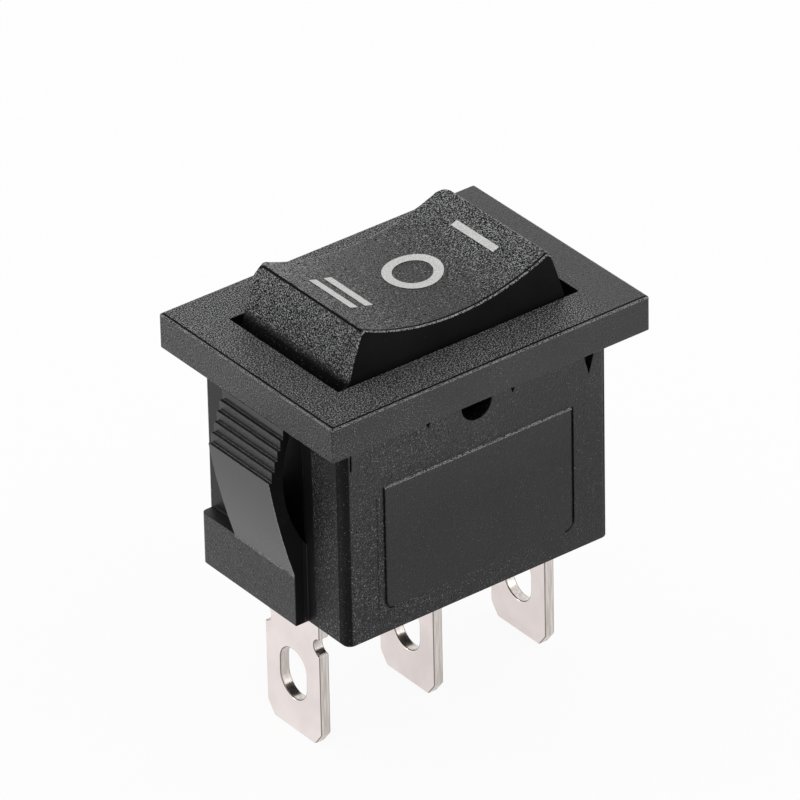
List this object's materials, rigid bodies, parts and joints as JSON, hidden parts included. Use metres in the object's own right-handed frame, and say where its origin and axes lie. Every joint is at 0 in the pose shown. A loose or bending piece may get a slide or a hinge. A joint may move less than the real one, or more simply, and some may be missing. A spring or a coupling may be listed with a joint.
{
  "type": "panel rocker switch",
  "caption": "Snap-in panel rocker switch, on-off-on, with a dished rocker, serrated snap wings, sprung contact bridge and push-on solder tabs.",
  "frame": {"origin": "centre of the panel cut-out, on the panel's front face where the bezel seats", "axes": "+Z out of the panel towards the finger, +X along the rocker's length, the tabs hang towards -Z"},
  "size_m": [0.0222, 0.015, 0.0263],
  "materials": {
    "housing_plastic": "moulded black nylon, fine spark-eroded grain",
    "rocker_plastic": "moulded black nylon, grained top, smooth sides",
    "plunger_plastic": "turned natural acetal",
    "spring_steel": "drawn music wire",
    "tab_metal": "stamped brass, bright tin plated",
    "contact_silver": "headed silver alloy",
    "bridge_copper": "stamped copper alloy"
  },
  "bodies": {
    "housing": {"housing": "housing_plastic", "terminal_left": "tab_metal", "terminal_common": "tab_metal", "terminal_right": "tab_metal", "fixed_contact_left": "contact_silver", "fixed_contact_right": "contact_silver"},
    "rocker": {"rocker": "rocker_plastic", "plunger_spring": "spring_steel"},
    "plunger": {"plunger": "plunger_plastic"},
    "contact_bridge": {"contact_bridge": "bridge_copper", "moving_contact_left": "contact_silver", "moving_contact_right": "contact_silver"}
  },
  "joints": [
    {"name": "rocker_tilt", "type": "hinge", "parent": "housing", "child": "rocker", "pos_m": [0, 0, -0.0011], "axis": [0, 1, 0], "range_deg": [-12, 12]},
    {"name": "contact_tilt", "type": "hinge", "parent": "housing", "child": "contact_bridge", "pos_m": [0, 0, -0.00979], "axis": [0, 1, 0], "range_deg": [-10, 10]},
    {"name": "plunger_slide", "type": "slide", "parent": "rocker", "child": "plunger", "axis": [0, 0, 1], "range_m": [0, 0.0005], "stiffness_N_per_m": 400, "springref_m": -0.002, "deforming": ["plunger_spring"]}
  ],
  "couplings": [
    {"joint": "contact_tilt", "follows": "rocker_tilt", "ratio": -0.8333}
  ]
}
